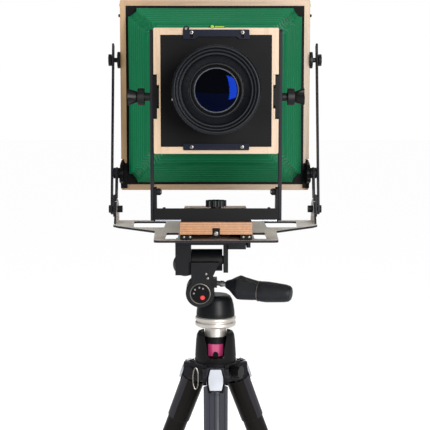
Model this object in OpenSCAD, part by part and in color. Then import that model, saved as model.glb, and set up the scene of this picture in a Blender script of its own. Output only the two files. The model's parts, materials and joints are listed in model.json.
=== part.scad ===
// Large-format folding film camera on a three-way head and a three-section tripod.
// Millimetres. +Z is up and the lens looks along -Y. The floor is Z = 0, and the origin is the
// centre of the whole assembly's footprint.

/* [Tripod] */
// Length of a closed leg, from its hinge pin to the floor
leg_length = 560; // [520:5:620]
// Angle between a leg and the vertical
leg_splay = 22.5; // [20:0.5:24]
// Distance of the leg hinges from the column's centre line
hinge_radius = 31; // [31:0.5:36]
// Outer diameter of the upper leg tube
upper_tube_d = 30; // [29:0.5:31]
// Outer diameter of the middle leg tube
middle_tube_d = 25; // [24:0.5:26]
// Outer diameter of the lower leg tube
lower_tube_d = 20; // [19:0.5:21]
// Wall of every leg tube
tube_wall = 1.5; // [1:0.1:2]
// Outer diameter of the centre column
column_d = 26; // [24:0.5:26]
// Length of the centre column's tube
column_length = 300; // [240:10:360]

/* [Head] */
// Diameter of the round plate that carries the head
head_plate_d = 57; // [50:1:60]
// Height of the sideways tilt axis above the column plate
side_axis_h = 35.6; // [34:0.2:38]
// Height of the fore-and-aft tilt axis above the column plate
tilt_axis_h = 79; // [78:0.5:84]

/* [Camera] */
// Outside of the square rear frame
rear_frame_size = 288; // [280:1:300]
// Outside of the square front frame
front_frame_size = 158; // [156:0.5:160]
// Side of the square lens board
lens_board_size = 140; // [138:0.5:141]
// Distance between the front faces of the two frames
bellows_draw = 270; // [250:5:290]
// Height of the lens axis above the base plate's underside
lens_axis_h = 192.6; // [188:0.2:198]
// Outer diameter of the lens barrel's front rim
lens_rim_d = 108; // [96:1:110]
// Diameter of the clear front glass
glass_d = 59; // [50:1:62]

/* [Hidden] */
$fn = 48;

// Clearance between pieces that move past each other, and the finer one of a pin in its bore
gap = 0.3;
pin_gap = 0.05;

// ---- derived tripod sizes, with s the distance down a leg from its hinge pin
hinge_z = leg_length * cos(leg_splay);
foot_r = 15;
yoke_inner = 13;
yoke_outer = 18;
tongue_r = 13;
leg_pin_r = 4;
casting_r = 17;
casting_top_s = 14;
casting_end_s = 80;
upper_tube_s = [22, 440];
upper_clamp_s = [415, 458];
upper_clamp_r = 20;
middle_tube_s = [60, 485];
middle_clamp_s = [462, 500];
middle_clamp_r = 17.5;
lower_tube_s = [85, 530];
foot_top_s = 512;
spider_top = hinge_z + 16;
crown_top = spider_top + 43;
column_plate_z = hinge_z + 66.5;
column_plate_h = 14.5;

// ---- derived head heights
side_axis_z = column_plate_z + column_plate_h + side_axis_h;
side_axis_x = -21.5;
tilt_axis_z = column_plate_z + column_plate_h + tilt_axis_h;
drum_r = 15.5;
housing_r = 20;
handle_rod_r = 3.5;
platform_z = [tilt_axis_z + 23.6, tilt_axis_z + 28.6];

// ---- derived camera places
base_z = tilt_axis_z + 40;
plate_t = 3;
lens_z = base_z + lens_axis_h;
front_y = -128;
rear_y = front_y + bellows_draw;
rear_frame_t = 24;
front_frame_t = 20;
bed_w = 92;
bed_t = 15.6;
bed_z = base_z + 11;
bed_y = [front_y - 4, 115];
bed_top = bed_z + bed_t;
bracket_y = -112;
bracket_half = 79.6;
fold_z = bed_top + 37.5;
upright_in = front_frame_size / 2 + 1.2;
upright_t = 3.8;
upright_top = lens_z + 78;
rise_z = lens_z - 7;
tilt_y = front_y + 12;
clip_half = 41.8;
clip_screw_x = [-31, 33];
ear_x = 146.5;
ear_pivot = [102, base_z + 23];
frame_pivot = [118, base_z + 76];
brace_lean = 11;
brace_x = 153.7;
brace_t = 2.6;
stud_z = lens_z + 54;
stud_y = rear_y + 8;
rear_side = rear_frame_size / 2;
back_y = rear_y + rear_frame_t;

// The assembly is drawn about the column and moved so that its footprint is centred
front_reach = hinge_radius + leg_length * sin(leg_splay) + foot_r / cos(leg_splay);
fore_handle_y = 13;
fore_handle_lean = 102;
fore_rod = 90;
grip_length = 90;
handle_length = fore_rod + grip_length;
fore_handle_reach = fore_handle_y + handle_length * sin(fore_handle_lean) - 8 * cos(fore_handle_lean);
column_y = (front_reach - fore_handle_reach) / 2;

// ------------------------------------------------------------------ shared shapes
function leg_azimuth(k) = -90 + 120 * (k - 1);

// Puts its children in a leg's frame: the leg runs along -Z, +X points outwards, the pin along Y
module on_leg(k)
  translate([0, column_y, 0]) rotate([0, 0, leg_azimuth(k)])
    translate([hinge_radius, 0, hinge_z]) rotate([0, -leg_splay, 0]) children();

module on_column() translate([0, column_y, 0]) children();

// Everything that is the same on the left and on the right
module both_sides() {
  children();
  mirror([1, 0, 0]) children();
}

// A corner of an outline, rounded to an arc that touches both of its sides
function corner_arc(a, b, c, r, steps = 5) =
  let (
    u = (a - b) / norm(a - b),
    w = (c - b) / norm(c - b),
    half = acos(u * w) / 2,
    centre = b + (u + w) / norm(u + w) * r / sin(half),
    from = atan2((b + u * r / tan(half) - centre).y, (b + u * r / tan(half) - centre).x),
    to = atan2((b + w * r / tan(half) - centre).y, (b + w * r / tan(half) - centre).x),
    turn = (to - from + 540) % 360 - 180
  )
  [for (i = [0 : steps]) centre + r * [cos(from + turn * i / steps), sin(from + turn * i / steps)]];

// An outline with every corner rounded
function rounded(points, r) =
  let (n = len(points))
  [for (i = [0 : n - 1]) each corner_arc(points[(i + n - 1) % n], points[i], points[(i + 1) % n], r)];

function rectangle(x0, x1, y0, y1) = [[x0, y0], [x1, y0], [x1, y1], [x0, y1]];

module x_cylinder(r, x0, x1) translate([x0, 0, 0]) rotate([0, 90, 0]) cylinder(r = r, h = x1 - x0);

module y_cylinder(r, y0, y1) translate([0, y0, 0]) rotate([-90, 0, 0]) cylinder(r = r, h = y1 - y0);

module block(x, y, z) translate([x[0], y[0], z[0]]) cube([x[1] - x[0], y[1] - y[0], z[1] - z[0]]);

// A plate standing across X, from an outline of (y, z) points
module side_plate(points, x0, x1)
  translate([x0, 0, 0]) rotate([90, 0, 90]) linear_extrude(x1 - x0) polygon(points);

// A plate standing across Y, from an outline of (x, z) points
module front_plate(points, y0, y1)
  translate([0, y1, 0]) rotate([90, 0, 0]) linear_extrude(y1 - y0) polygon(points);

// A plate standing across Y about the lens axis, half_w and half_h to each side of it
module lens_plate(half_w, half_h, y, r = 0) {
  outline = rectangle(-half_w, half_w, lens_z - half_h, lens_z + half_h);
  front_plate(r > 0 ? rounded(outline, r) : outline, y[0], y[1]);
}

// A hand knob with finger flutes round its rim, standing along +Z
module fluted_knob(r, h, flutes, neck_r, neck_h) {
  cylinder(r = neck_r, h = neck_h);
  translate([0, 0, neck_h]) difference() {
    cylinder(r = r, h = h);
    for (i = [0 : flutes - 1])
      rotate([0, 0, i * 360 / flutes]) translate([r * 1.12, 0, -1])
        cylinder(r = r * 0.24, h = h + 2, $fn = 24);
  }
}

// A side knob of the front standard: washer, drum and flared three-lobed grip along +Z
module winged_knob() {
  cylinder(r = 5.3, h = 7);
  translate([0, 0, 7]) cylinder(r = 11, h = 8.5);
  translate([0, 0, 15.5]) difference() {
    cylinder(r1 = 6.5, r2 = 11.5, h = 12.5);
    for (i = [0 : 2])
      rotate([0, 0, i * 120]) translate([14, 0, -1]) cylinder(r = 6, h = 16, $fn = 24);
  }
}

// ------------------------------------------------------------------ tripod
module yoke(k) rotate([0, 0, leg_azimuth(k)]) difference() {
  for (side = [-1, 1]) translate([0, side > 0 ? yoke_inner : -yoke_outer, 0]) {
    translate([hinge_radius, 0, hinge_z]) y_cylinder(12, 0, yoke_outer - yoke_inner);
    block([9, hinge_radius], [0, yoke_outer - yoke_inner], [hinge_z - 12, spider_top]);
    block([9, hinge_radius + 11], [0, yoke_outer - yoke_inner], [hinge_z, spider_top - 3]);
  }
  translate([hinge_radius, 0, hinge_z]) y_cylinder(leg_pin_r, -30, 30);
}

module leg_pin(k) rotate([0, 0, leg_azimuth(k)]) translate([hinge_radius, 0, hinge_z]) {
  y_cylinder(leg_pin_r, -yoke_outer, yoke_outer);
  y_cylinder(6.5, yoke_outer, yoke_outer + 3);
  y_cylinder(6.5, -yoke_outer - 3, -yoke_outer);
}

module spider() color("#2c2c2f") on_column() {
  difference() {
    union() {
      translate([0, 0, hinge_z - 12]) cylinder(r = 17.5, h = 28);
      translate([0, 0, spider_top - 2.4]) cylinder(r = 30, h = 2.4);
      for (k = [1 : 3]) yoke(k);
      rotate([0, 0, -30]) block([14, 24], [-7, 7], [hinge_z - 3, hinge_z + 13.6]);
    }
    translate([0, 0, hinge_z - 20]) cylinder(r = column_d / 2 + 0.1, h = 40);
    rotate([0, 0, -30]) translate([0, 0, hinge_z + 4]) x_cylinder(4.1, 13, 26);
  }
  for (k = [1 : 3]) leg_pin(k);
}

// Collar above the spider, open at the front and back where the column's clamp shows
module crown() color("#2b2b2d") on_column() translate([0, 0, spider_top]) {
  difference() {
    rotate_extrude() polygon([
      [13.2, 0], [28, 0], [29, 8], [28.4, 18], [27.6, 30], [26.5, 38],
      [24.4, 42], [21.5, 43], [18.6, 41], [17.2, 34], [17.2, 8], [13.2, 5]
    ]);
    front_plate([[-8, 8], [8, 8], [12, 12], [13, 24], [18, 50], [-18, 50], [-13, 24], [-12, 12]], -40, 40);
  }
  difference() {
    translate([0, 0, 20]) cylinder(r = 15.6, h = 16);
    translate([0, 0, 10]) cylinder(r = column_d / 2 + 0.1, h = 40);
  }
  for (side = [0, 180]) rotate([0, 0, side]) block([15.4, 18], [-6, 6], [22, 34]);
}

module column_lock_knob() color("#242426") on_column() rotate([0, 0, -30])
  translate([14.4, 0, hinge_z + 4]) rotate([0, 90, 0]) {
    cylinder(r = 4, h = 12);
    translate([0, 0, 9.9]) fluted_knob(9.5, 13, 8, 5, 4);
  }

module column_tube() color("#55565c") on_column() {
  top = column_plate_z - 0.01;
  translate([0, 0, top - column_length]) difference() {
    cylinder(r = column_d / 2, h = column_length - 1);
    translate([0, 0, -1]) cylinder(r = column_d / 2 - 2, h = column_length - 20);
  }
  translate([0, 0, top - column_length - 6]) difference() {
    cylinder(r = column_d / 2, h = 6);
    translate([0, 0, -1]) cylinder(r = 4.5, h = 8);
  }
}

module column_head() color("#c9c9c7") on_column() {
  difference() {
    translate([0, 0, spider_top + 36.2])
      cylinder(r = 15.2, h = column_plate_z - spider_top - 36.2);
    translate([0, 0, spider_top + 20])
      cylinder(r = column_d / 2, h = column_plate_z - spider_top - 21.01);
  }
  rim = head_plate_d / 2;
  translate([0, 0, column_plate_z]) rotate_extrude() polygon([
    [0, 0], [rim - 2, 0], [rim, 2], [rim, 6], [rim - 1.5, 7], [rim - 1.5, 8.5], [rim, 9.5],
    [rim, 13], [rim - 2, column_plate_h], [0, column_plate_h]
  ]);
}

module leg_upper(k) color("#3a3b40") on_leg(k) {
  // shoulder casting
  difference() {
    union() {
      y_cylinder(tongue_r, -12.7, 12.7);
      block([-11, 11], [-12.7, 12.7], [-casting_top_s - 1, 0]);
      translate([0, 0, -casting_end_s])
        cylinder(r1 = casting_r - 0.6, r2 = casting_r, h = casting_end_s - casting_top_s);
    }
    y_cylinder(leg_pin_r + pin_gap, -20, 20);
    translate([0, 0, -casting_end_s - 1])
      cylinder(r = upper_tube_d / 2, h = casting_end_s - upper_tube_s[0] + 1);
    block([13.4, 30], [-11, 11], [-28, 14]);
    translate([0, 0, -18]) x_cylinder(3.3, 8, 20);
  }
  // tube
  translate([0, 0, -upper_tube_s[1]]) difference() {
    cylinder(r = upper_tube_d / 2, h = upper_tube_s[1] - upper_tube_s[0]);
    translate([0, 0, -1]) cylinder(r = upper_tube_d / 2 - tube_wall, h = upper_tube_s[1] + 2);
  }
  leg_clamp(upper_clamp_s, upper_clamp_r, upper_tube_d / 2, upper_tube_s[1], middle_tube_d / 2 + gap);
}

// Split clamp at the end of a tube, with the two lugs that hold its lever's pin
module leg_clamp(s, r, tube_r, tube_end, next_r) {
  height = s[1] - s[0];
  difference() {
    union() {
      translate([0, 0, -s[1]]) cylinder(r = r, h = height);
      for (z = [-s[1], -s[0] - 6]) translate([r - 4, 0, z]) block([0, 8], [-4, 4], [0, 6]);
      for (z = [-s[1], -s[0] - 6]) translate([r + 4, 0, z]) cylinder(r = 4, h = 6);
    }
    translate([0, 0, -tube_end]) cylinder(r = tube_r, h = 100);
    translate([0, 0, -s[1] - 1]) cylinder(r = next_r, h = 100);
    translate([r + 4, 0, -s[1] - 1]) cylinder(r = 1.6, h = height + 2);
  }
}

// Lever that lies round its clamp and swings out about a pin parallel to the tube
module clamp_lever(s, r) {
  low = -s[1] + 6 + gap;
  height = s[1] - s[0] - 12 - 2 * gap;
  translate([0, 0, low]) difference() {
    cylinder(r = r + 4.6, h = height);
    translate([0, 0, -1]) cylinder(r = r + gap, h = height + 2);
    block([-60, 60], [-60, 0], [-1, height + 1]);
    rotate([0, 0, 115]) block([-60, 60], [0, 60], [-1, height + 1]);
  }
  translate([r + 4, 0, low]) cylinder(r = 3.6, h = height);
  translate([r + 4, 0, -s[1]]) cylinder(r = 1.5, h = s[1] - s[0]);
}

module leg_middle(k) color("#54565b") on_leg(k) {
  translate([0, 0, -middle_tube_s[1]]) difference() {
    cylinder(r = middle_tube_d / 2, h = middle_tube_s[1] - middle_tube_s[0]);
    translate([0, 0, -1]) cylinder(r = middle_tube_d / 2 - tube_wall, h = middle_tube_s[1] + 2);
  }
  leg_clamp(middle_clamp_s, middle_clamp_r, middle_tube_d / 2, middle_tube_s[1], lower_tube_d / 2 + gap);
}

module leg_lower(k) color("#6a6c70") {
  on_leg(k) translate([0, 0, -lower_tube_s[1]]) difference() {
    cylinder(r = lower_tube_d / 2, h = lower_tube_s[1] - lower_tube_s[0]);
    translate([0, 0, -1]) cylinder(r = lower_tube_d / 2 - tube_wall, h = lower_tube_s[1] + 2);
  }
  // rubber foot, cut flat where it stands on the floor
  difference() {
    on_leg(k) difference() {
      translate([0, 0, -leg_length - 20]) cylinder(r = foot_r, h = leg_length + 20 - foot_top_s);
      translate([0, 0, -lower_tube_s[1]]) cylinder(r = lower_tube_d / 2, h = 100);
    }
    block([-500, 500], [-500, 500], [-100, 0]);
  }
}

module leg_upper_lever(k) color("#202124") on_leg(k) clamp_lever(upper_clamp_s, upper_clamp_r);

module leg_middle_lever(k) color("#202124") on_leg(k) clamp_lever(middle_clamp_s, middle_clamp_r);

// Spring-loaded key on the shoulder that frees the leg's angle
module leg_angle_lock(k) color("#b9babc") on_leg(k) {
  low = 0.4 - upper_tube_s[0];
  outline = [[-7.5, 7], [7.5, 7], [10, -4], [10, -12], [8, low], [-8, low], [-10, -12], [-10, -4]];
  side_plate(rounded(outline, 1.5), 14, 18.5);
  translate([0, 0, -18]) x_cylinder(3, 9, 14.5);
}

// ------------------------------------------------------------------ three-way head
module head_base() color("#1f2023") on_column()
  translate([0, 0, column_plate_z + column_plate_h]) cylinder(r = 27, h = 4);

// Frames in which the two handles run along +Z from the seats of their rods
module at_side_handle() translate([-5.8, -6, side_axis_z + 12.5]) rotate([0, 94, -20]) children();

module at_fore_handle()
  translate([-46, fore_handle_y, tilt_axis_z]) rotate([-fore_handle_lean, 0, 0]) children();

module pan_body() color("#1d1e21") on_column() {
  dome_z = column_plate_z + column_plate_h + 4 + gap;
  difference() {
    union() {
      translate([0, 0, dome_z]) rotate_extrude() polygon([
        [0, 0], [27, 0], [26.6, 4], [25.4, 12], [23.6, 19], [21, 23.5], [17, 26], [0, 27]
      ]);
      translate([side_axis_x, 0, side_axis_z]) y_cylinder(housing_r, -24, 20);
      // lug and collar of the clamp screw
      block([side_axis_x + 12, 2], [-14, 4], [side_axis_z + 6, side_axis_z + 19]);
    }
    translate([side_axis_x, 0, side_axis_z]) y_cylinder(8 + pin_gap, -30, 30);
    at_side_handle() translate([0, 0, -0.2]) cylinder(r = handle_rod_r + pin_gap, h = 20);
    translate([0, 0, dome_z + 9]) y_cylinder(3.1, 18, 30);
  }
}

module pan_lock_knob() color("#232427") on_column()
  translate([0, 18.2, column_plate_z + column_plate_h + 13.3]) rotate([-90, 0, 0]) {
    cylinder(r = 3, h = 8);
    translate([0, 0, 9.2]) fluted_knob(8.5, 12, 6, 4, 2);
    translate([0, 0, 7]) cylinder(r = 3, h = 3);
  }

// A pan handle along +Z: steel rod, flared collar and straight rubber grip
module handle(rod) {
  cylinder(r = handle_rod_r, h = rod + 8);
  translate([0, 0, rod]) rotate_extrude() polygon([
    [0, 0], [6, 0], [8.5, 3], [13, 8], [18.2, 22], [18.6, 25], [14, 44], [13.6, 45], [13.2, 60],
    [12, 84], [10.5, 88], [8, grip_length], [0, grip_length]
  ]);
}

module side_tilt_handle() color("#1a1b1e") on_column() at_side_handle() handle(24);

module fore_tilt_handle() color("#1a1b1e") on_column() at_fore_handle() handle(fore_rod);

// Fork that swings sideways round the housing and carries the drum of the fore-and-aft axis
module tilt_neck() color("#1e1f22") on_column() difference() {
  union() {
    difference() {
      front_plate([
        [side_axis_x - 12.5, side_axis_z + 8], [side_axis_x + 13, side_axis_z + 8],
        [side_axis_x + 17, side_axis_z + 22], [5, tilt_axis_z], [-34, tilt_axis_z]
      ], -28.5, 25);
      translate([side_axis_x, 0, side_axis_z]) y_cylinder(housing_r + 0.6, -24.4, 20.4);
      block([side_axis_x + 10, 30], [-15, 5], [side_axis_z, side_axis_z + 21]);
    }
    translate([side_axis_x, 0, side_axis_z]) {
      y_cylinder(19, -28.5, -24.4);
      y_cylinder(14.5, 20.4, 25);
      y_cylinder(8, -26, 22);
    }
    translate([0, 0, tilt_axis_z]) x_cylinder(drum_r, -34, 9.5);
  }
  translate([0, 0, tilt_axis_z]) x_cylinder(6 + pin_gap, -40, 20);
}

module head_platform() color("#1c1d20") on_column() difference() {
  union() {
    block([-56, 42], [-22, 22], platform_z);
    block([-56, -34.4], [-20, 20], [tilt_axis_z - 19, platform_z[0]]);
    block([11, 17.5], [-16, 16], [tilt_axis_z - 16, platform_z[0]]);
    block([17.5, 42], [-22, 22], [platform_z[0] - 6, platform_z[0]]);
    translate([0, 0, tilt_axis_z]) x_cylinder(6, -36, 12);
  }
  at_fore_handle() translate([0, 0, -0.2]) cylinder(r = handle_rod_r + pin_gap, h = 20);
}

module quick_release_plate() color("#26272a") on_column()
  translate([0, 0, platform_z[1]]) difference() {
    linear_extrude(base_z - platform_z[1]) polygon(rounded(rectangle(-34, 34, -28, 28), 5));
    translate([0, 0, -1]) cylinder(r = 4.8, h = 5);
  }

module quick_release_lever() color("#3a3b3e") on_column() {
  translate([45.6, -16, platform_z[0] - 4]) cylinder(r = 3, h = 9);
  block([42.6, 47.6], [-16, 22], [platform_z[0] - 2, platform_z[0] + 4]);
}

// ------------------------------------------------------------------ camera base and focusing bed
module base_plate() color("#8f8b88") on_column() {
  half = [[80, front_y - 2], [84, -19], [141, 46], [ear_x + 3, 62], [ear_x + 3, 134]];
  outline = concat([for (p = half) p], [for (i = [len(half) - 1 : -1 : 0]) [-half[i].x, half[i].y]]);
  hole = [[73.5, 28], [117, 31], [123, 115], [74, 115]];
  slot = rectangle(50, 67, -111, -41);
  difference() {
    translate([0, 0, base_z]) linear_extrude(plate_t) difference() {
      polygon(rounded(outline, 7));
      polygon(rounded(hole, 6));
      polygon(rounded([for (p = hole) [-p.x, p.y]], 6));
      polygon(rounded(slot, 4));
      polygon(rounded([for (p = slot) [-p.x, p.y]], 4));
    }
    translate([0, 0, base_z - 1]) cylinder(r = 4.8, h = 6);
  }
  // turned-up ears that carry the rear standard
  ear = [
    [72, base_z + plate_t], [134, base_z + plate_t],
    [128, base_z + 30], [112, base_z + 37], [92, base_z + 34]
  ];
  both_sides() difference() {
    side_plate(rounded(ear, 2), ear_x, ear_x + 3);
    translate([0, ear_pivot.x, ear_pivot.y]) x_cylinder(3, ear_x - 2, ear_x + 5);
  }
}

// Pair of rails screwed to the base plate, and the nut of the focusing screw
module bed_guides() color("#17181a") on_column() {
  both_sides() block([31, 46], [front_y + 2, 112], [base_z + plate_t, bed_z - 0.1]);
  difference() {
    block([-12, 12], [30, 55], [base_z + plate_t, bed_z - 0.1]);
    translate([0, 0, bed_z + 1.4]) y_cylinder(4.2, 20, 70);
  }
}

module focus_bed() color("#c98f5a") on_column() difference() {
  block([-bed_w / 2, bed_w / 2], bed_y, [bed_z, bed_top]);
  block([-4.8, 4.8], [bed_y[0] - 1, bed_y[1] + 1], [bed_z - 1, bed_z + 8]);
  translate([0, bracket_y, bed_z + 8]) cylinder(r = 3.1, h = 20);
}

// Lead screw in the groove under the bed, with its hand knob at the back
module focus_screw() color("#b8b9bb") on_column() translate([0, 0, bed_z + 1.4]) {
  y_cylinder(3.9, bed_y[0] + 1, bed_y[1] + 6);
  translate([0, bed_y[1] + 1, 0]) rotate([-90, 0, 0]) fluted_knob(9, 14, 8, 6, 3);
}

// ------------------------------------------------------------------ front standard
module front_bracket() color("#1e1f22") on_column() difference() {
  union() {
    web = [-bracket_half, bracket_half];
    block(web, [bracket_y - 14, bracket_y + 14], [bed_top + gap, bed_top + 3.3]);
    block(web, [bracket_y - 14, bracket_y - 11], [bed_top + gap, bed_top + 17.2]);
    both_sides() side_plate(rounded([
      [bracket_y - 14, bed_top + gap], [bracket_y + 14, bed_top + gap],
      [bracket_y + 9, fold_z + 6], [bracket_y - 9, fold_z + 6]
    ], 2.5), bracket_half - 3, bracket_half);
  }
  translate([0, bracket_y, bed_top - 2]) cylinder(r = 3.2, h = 10);
  translate([0, bracket_y, fold_z]) x_cylinder(2.6, -100, 100);
}

// Knob over the middle of the bracket, with the stud that goes down into the bed
module swing_knob() color("#161719") on_column() translate([0, bracket_y, 0]) {
  translate([0, 0, bed_z + 8.2]) cylinder(r = 3, h = bed_top - bed_z);
  translate([0, 0, bed_top + 3.6]) fluted_knob(13.7, 8, 12, 7, 15);
}

// The two slotted side bars, each with the screw it folds about
module front_uprights() color("#2b2c31") on_column() both_sides() {
  difference() {
    side_plate(rounded([
      [bracket_y - 10, bed_top + 0.6], [bracket_y + 10, bed_top + 0.6],
      [bracket_y + 10, upright_top], [bracket_y - 10, upright_top]
    ], 4), upright_in, upright_in + upright_t);
    slot = rectangle(tilt_y - 4.3, tilt_y + 4.3, rise_z - 48, rise_z + 62);
    side_plate(rounded(slot, 4.2), upright_in - 1, upright_in + 6);
  }
  translate([0, bracket_y, fold_z]) {
    x_cylinder(2.5, bracket_half - 6, upright_in + 0.5);
    x_cylinder(4.4, bracket_half - 8.2, bracket_half - 3.1);
  }
}

// Stepped plates between frame and uprights, with the studs of the side knobs
module tilt_plates() color("#17181a") on_column() both_sides() translate([0, tilt_y, rise_z]) {
  notch = front_frame_size / 2 - 7;
  difference() {
    union() {
      x_cylinder(14, notch + 0.3, notch + 3);
      x_cylinder(27.6, notch + 3, upright_in - 0.2);
    }
    for (side = [-1, 1]) block([0, 100], side > 0 ? [8.5, 40] : [-40, -8.5], [-40, 40]);
  }
  x_cylinder(3.9, upright_in - 0.2, upright_in + upright_t + 6);
  x_cylinder(3, notch - 6, notch + 1);
}

module front_knob(side) on_column() translate([side * (upright_in + upright_t + 0.2), tilt_y, rise_z])
  rotate([0, side * 90, 0]) difference() {
    winged_knob();
    translate([0, 0, -1]) cylinder(r = 3.9 + pin_gap, h = 7.2);
  }

module front_knob_left() color("#17181a") front_knob(-1);

module front_knob_right() color("#17181a") front_knob(1);

module front_frame() color("#e3c6a2") on_column() {
  half = front_frame_size / 2;
  board = lens_board_size / 2 + 0.2;
  difference() {
    lens_plate(half, half, [front_y, front_y + front_frame_t], 2);
    lens_plate(59, 59, [front_y - 1, front_y + 30]);
    lens_plate(board, board, [front_y - 1, front_y + 4]);
    both_sides() translate([0, 0, rise_z]) {
      block([half - 7, half + 1], [front_y - 1, front_y + 30], [-28, 28]);
      translate([0, tilt_y, 0]) x_cylinder(3 + pin_gap, half - 13.3, half);
    }
  }
}

module lens_board() color("#1b1b1d") on_column() difference() {
  half = lens_board_size / 2;
  lens_plate(half, half, [front_y + 0.5, front_y + 4], 1.5);
  translate([0, 0, lens_z]) y_cylinder(32, front_y - 5, front_y + 20);
}

// Sliding clip over the board's top edge; its two slots run on shoulder screws
module top_clip() color("#1c2434") on_column() difference() {
  union() {
    front_plate(rounded([
      [-clip_half, lens_z + 65], [-27, lens_z + 65], [-23, lens_z + 68],
      [25, lens_z + 68], [29, lens_z + 65], [clip_half, lens_z + 65],
      [clip_half, lens_z + 76.6], [-clip_half, lens_z + 76.6]
    ], 1.2), front_y - 2.2, front_y - 0.2);
    translate([-37.5, 0, lens_z + 77.6]) y_cylinder(3.8, front_y - 2.2, front_y - 0.2);
  }
  translate([-37.5, 0, lens_z + 78.2]) y_cylinder(1.9, front_y - 5, front_y + 2);
  for (x = clip_screw_x)
    front_plate(
      rounded(rectangle(x - 1.8, x + 1.8, lens_z + 66, lens_z + 75), 1.7), front_y - 5, front_y + 1
    );
}

module bottom_clip() color("#1c2434") on_column() {
  outline = rectangle(-clip_half, clip_half, lens_z - 74.5, lens_z - 66);
  front_plate(rounded(outline, 1.2), front_y - 2.2, front_y);
  for (x = clip_screw_x) translate([x, 0, lens_z]) {
    // screws of both clips
    translate([0, 0, -70.2]) y_cylinder(2.4, front_y - 3.2, front_y - 2.2);
    translate([0, 0, 73]) y_cylinder(1.6, front_y - 2.4, front_y);
    translate([0, 0, 73]) y_cylinder(2.8, front_y - 3.8, front_y - 2.4);
  }
}

module shutter() color("#202124") on_column() translate([0, 0, lens_z]) difference() {
  union() {
    y_cylinder(47, front_y - 22, front_y + 0.5);
    y_cylinder(31.9, front_y + 0.5, front_y + 22);
    y_cylinder(38, front_y + 4, front_y + 8);
  }
  y_cylinder(24, front_y - 30, front_y + 40);
}

module shutter_lever() color("#c5bdb6") on_column() translate([0, 0, lens_z]) {
  difference() {
    y_cylinder(49.4, front_y - 19, front_y - 14);
    y_cylinder(47 + gap, front_y - 20, front_y - 10);
  }
  rotate([0, -11, 0]) translate([0, front_y - 16.5, 0]) x_cylinder(1.6, -56.5, -48.5);
}

// Barrel with a wide stepped funnel in front of the glass
module lens_barrel() color("#1d1e22") on_column() translate([0, front_y, lens_z]) rotate([90, 0, 0]) {
  rim = lens_rim_d / 2;
  glass = glass_d / 2;
  rotate_extrude($fn = 64) polygon([
    [24, 22], [44, 22], [44, 28], [rim - 3, 36], [rim, 40], [rim, 60], [rim - 2, 62],
    [rim - 3.6, 62], [rim - 5.5, 57], [rim - 7, 57], [rim - 9, 51], [rim - 11, 51],
    [rim - 13, 45], [glass + 4.4, 40], [glass + 3.6, 41.5], [glass + 0.6, 41.5],
    [glass + 0.4, 36], [glass - 1.5, 34], [24, 30]
  ]);
}

module front_element() color("#20242c") on_column() translate([0, front_y - 36, lens_z])
  rotate([90, 0, 0]) rotate_extrude($fn = 64) polygon(concat(
    [[0, 0], [glass_d / 2, 0]],
    [for (i = [0 : 8]) [glass_d / 2 * cos(i * 11.25), 1 + 5 * sin(i * 11.25)]]
  ));

// ------------------------------------------------------------------ bellows
// A square tapered tube, written as one closed skin of rings of four corners
module bellows() color("#12805a") on_column() {
  front = 70;
  back = 130;
  wall = 3;
  y0 = front_y + front_frame_t + 0.2;
  y1 = rear_y - 0.2;
  ring = function (half, y)
    [for (p = rectangle(-half, half, -half, half)) [p.x, y, lens_z + p.y]];
  side = function (a, b) [for (i = [0 : 3]) [a + i, b + i, b + (i + 1) % 4, a + (i + 1) % 4]];
  polyhedron(
    concat(ring(front, y0), ring(back, y1), ring(back - wall, y1), ring(front - wall, y0)),
    concat(side(0, 4), side(4, 8), side(8, 12), side(12, 0))
  );
}

// ------------------------------------------------------------------ rear standard
module rear_frame() color("#d9b98f") on_column() difference() {
  half = rear_side;
  lens_plate(half, half, [rear_y, rear_y + rear_frame_t], 2);
  lens_plate(131, 131, [rear_y - 1, rear_y + 16]);
  lens_plate(122, 122, [rear_y - 1, rear_y + 30]);
  both_sides()
    block([half - 5, half + 1], [rear_y - 1, rear_y + 18], [frame_pivot.y - 22, frame_pivot.y + 20]);
}

// Plates let into the frame's sides that carry its hinge discs
module rear_hinge_plates() color("#17181a") on_column() both_sides() {
  difference() {
    union() {
      side_plate(rounded([
        [frame_pivot.x - 10, frame_pivot.y - 12], [rear_y + 17.8, frame_pivot.y - 22],
        [rear_y + 17.8, frame_pivot.y + 19.8], [frame_pivot.x + 8, frame_pivot.y + 12]
      ], 5), rear_side - 4.8, rear_side + 0.4);
      translate([0, frame_pivot.x, frame_pivot.y]) x_cylinder(8, rear_side + 0.2, ear_x + 0.2);
    }
    translate([0, frame_pivot.x, frame_pivot.y]) x_cylinder(3.6 + pin_gap, rear_side - 8, rear_side + 10);
  }
}

// Joggled straps bolted to the ears; each ends in the pin that the rear frame tilts on
module rear_supports() color("#222328") on_column() both_sides() {
  foot = [[92, base_z + 12], [114, base_z + 12], [118, base_z + 44], [98, base_z + 44]];
  head = [[98, base_z + 38], [118, base_z + 38], [127, frame_pivot.y + 2], [121, frame_pivot.y + 9],
          [112, frame_pivot.y + 8], [108, frame_pivot.y]];
  difference() {
    union() {
      side_plate(rounded(foot, 2), ear_x + 3, ear_x + 5.8);
      side_plate(rounded(head, 2), ear_x + 0.6, ear_x + 3.4);
    }
    translate([0, ear_pivot.x, ear_pivot.y]) x_cylinder(3, ear_x - 2, ear_x + 8);
  }
  translate([0, frame_pivot.x, frame_pivot.y]) {
    x_cylinder(3.6, rear_side - 5, ear_x + 2);
    x_cylinder(8.2, ear_x + 3.4, brace_x - 0.7);
  }
  // screw through ear and strap that the brace swings on
  translate([0, ear_pivot.x, ear_pivot.y]) {
    x_cylinder(3, ear_x - 5, brace_x + brace_t + 0.5);
    x_cylinder(5.2, ear_x - 7.5, ear_x - 0.1);
    x_cylinder(5.8, brace_x + brace_t + 0.3, brace_x + brace_t + 3);
  }
}

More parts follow.
